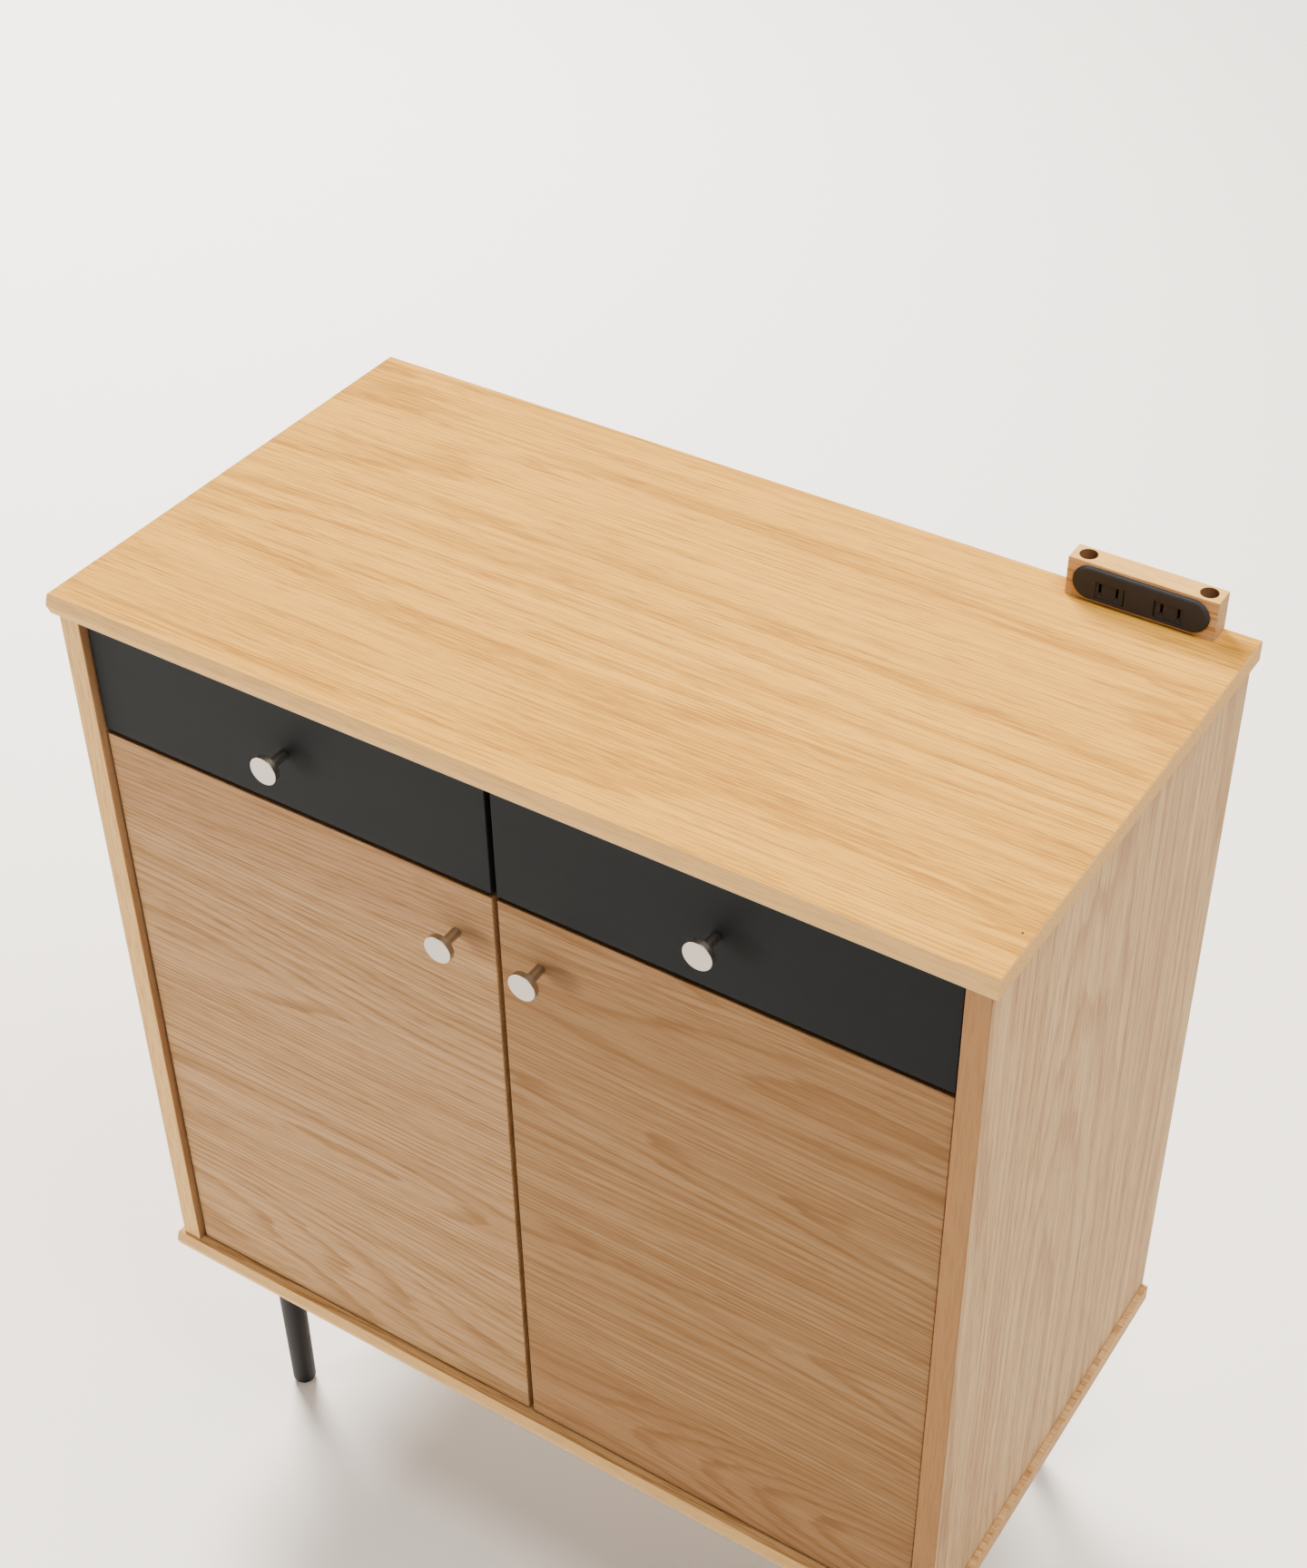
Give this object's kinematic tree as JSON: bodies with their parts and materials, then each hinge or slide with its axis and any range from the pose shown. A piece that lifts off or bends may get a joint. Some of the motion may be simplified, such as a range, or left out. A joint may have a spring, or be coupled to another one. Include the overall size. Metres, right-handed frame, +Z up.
{
  "type": "kitchen counter cabinet",
  "caption": "Light-oak kitchen counter cabinet with charcoal drawers over swing doors, round black legs and a small power outlet block on the worktop.",
  "frame": {"origin": "on the floor, midway between the side panels and midway between the front nose and the rear edge of the worktop", "axes": "+X to the right of a person who faces the doors, -Y towards that person, +Z up"},
  "size_m": [0.75, 0.4111, 0.931],
  "materials": {
    "oak_top": "satin light oak veneer, grain along the width",
    "oak_base": "satin oak veneer, grain along the width",
    "oak_side": "satin pale oak veneer, upright grain",
    "oak_door": "satin oak veneer, level grain",
    "oak_inside": "satin oak foil",
    "oak_block": "satin solid oak",
    "back_sheet": "foil-faced hardboard",
    "charcoal_front": "matt charcoal stain with faint grain",
    "drawer_box_board": "satin pale board",
    "brushed_nickel": "brushed nickel",
    "black_metal": "matt black powder coat",
    "glide_plastic": "matt dark plastic",
    "dark_plastic": "satin black-brown plastic",
    "black_plastic": "matt black plastic",
    "contact_brass": "sprung brass strip",
    "cast_zinc": "die-cast zinc",
    "screw_steel": "zinc-plated steel",
    "runner_steel": "zinc-plated sheet steel",
    "hinge_steel": "nickel-plated steel"
  },
  "bodies": {
    "cabinet": {"back_panel": "back_sheet", "base_board": "oak_base", "cam_bolts": "screw_steel", "cam_locks": "cast_zinc", "cord_gland": "black_plastic", "drawer_upright": "oak_inside", "euro_screws": "screw_steel", "front_left_leg": "black_metal", "front_right_leg": "black_metal", "hinge_arm_screws": "screw_steel", "hinge_arms": "hinge_steel", "hinge_plates": "hinge_steel", "left_side_panel": "oak_side", "leg_glides": "glide_plastic", "leg_plate_screws": "screw_steel", "leg_plates": "black_metal", "leg_studs": "screw_steel", "middle_board": "oak_inside", "outlet_block": "oak_block", "outlet_block_screws": "screw_steel", "outlet_contacts": "contact_brass", "outlet_housing": "black_plastic", "outlet_plate": "dark_plastic", "rear_left_leg": "black_metal", "rear_right_leg": "black_metal", "right_side_panel": "oak_side", "runner_cabinet_members": "runner_steel", "shelf": "oak_inside", "shelf_pins": "screw_steel", "top_board": "oak_top"},
    "right_drawer": {"right_drawer_back": "drawer_box_board", "right_drawer_bottom": "drawer_box_board", "right_drawer_front": "charcoal_front", "right_drawer_inner_side": "drawer_box_board", "right_drawer_knob": "brushed_nickel", "right_drawer_knob_screw": "screw_steel", "right_drawer_outer_side": "drawer_box_board", "right_drawer_runner_members": "runner_steel"},
    "left_drawer": {"left_drawer_back": "drawer_box_board", "left_drawer_bottom": "drawer_box_board", "left_drawer_front": "charcoal_front", "left_drawer_inner_side": "drawer_box_board", "left_drawer_knob": "brushed_nickel", "left_drawer_knob_screw": "screw_steel", "left_drawer_outer_side": "drawer_box_board", "left_drawer_runner_members": "runner_steel"},
    "right_runner_middles": {"right_drawer_runner_middle_members": "runner_steel"},
    "left_runner_middles": {"left_drawer_runner_middle_members": "runner_steel"},
    "right_door": {"right_door_hinge_cups": "hinge_steel", "right_door_hinge_pins": "screw_steel", "right_door_knob": "brushed_nickel", "right_door_knob_screw": "screw_steel", "right_door_panel": "oak_door"},
    "left_door": {"left_door_hinge_cups": "hinge_steel", "left_door_hinge_pins": "screw_steel", "left_door_knob": "brushed_nickel", "left_door_knob_screw": "screw_steel", "left_door_panel": "oak_door"}
  },
  "joints": [
    {"name": "right_drawer_slide", "type": "slide", "parent": "cabinet", "child": "right_drawer", "axis": [0, -1, 0], "range_m": [0, 0.28]},
    {"name": "right_runner_slide", "type": "slide", "parent": "cabinet", "child": "right_runner_middles", "axis": [0, -1, 0], "range_m": [0, 0.14]},
    {"name": "left_drawer_slide", "type": "slide", "parent": "cabinet", "child": "left_drawer", "axis": [0, -1, 0], "range_m": [0, 0.28]},
    {"name": "left_runner_slide", "type": "slide", "parent": "cabinet", "child": "left_runner_middles", "axis": [0, -1, 0], "range_m": [0, 0.14]},
    {"name": "right_door_hinge", "type": "hinge", "parent": "cabinet", "child": "right_door", "pos_m": [0.3325, -0.1796, 0.5], "axis": [0, 0, 1], "range_deg": [0, 95]},
    {"name": "left_door_hinge", "type": "hinge", "parent": "cabinet", "child": "left_door", "pos_m": [-0.3325, -0.1796, 0.5], "axis": [0, 0, -1], "range_deg": [0, 95]}
  ],
  "couplings": [
    {"joint": "right_runner_slide", "follows": "right_drawer_slide", "ratio": 0.5},
    {"joint": "left_runner_slide", "follows": "left_drawer_slide", "ratio": 0.5}
  ]
}
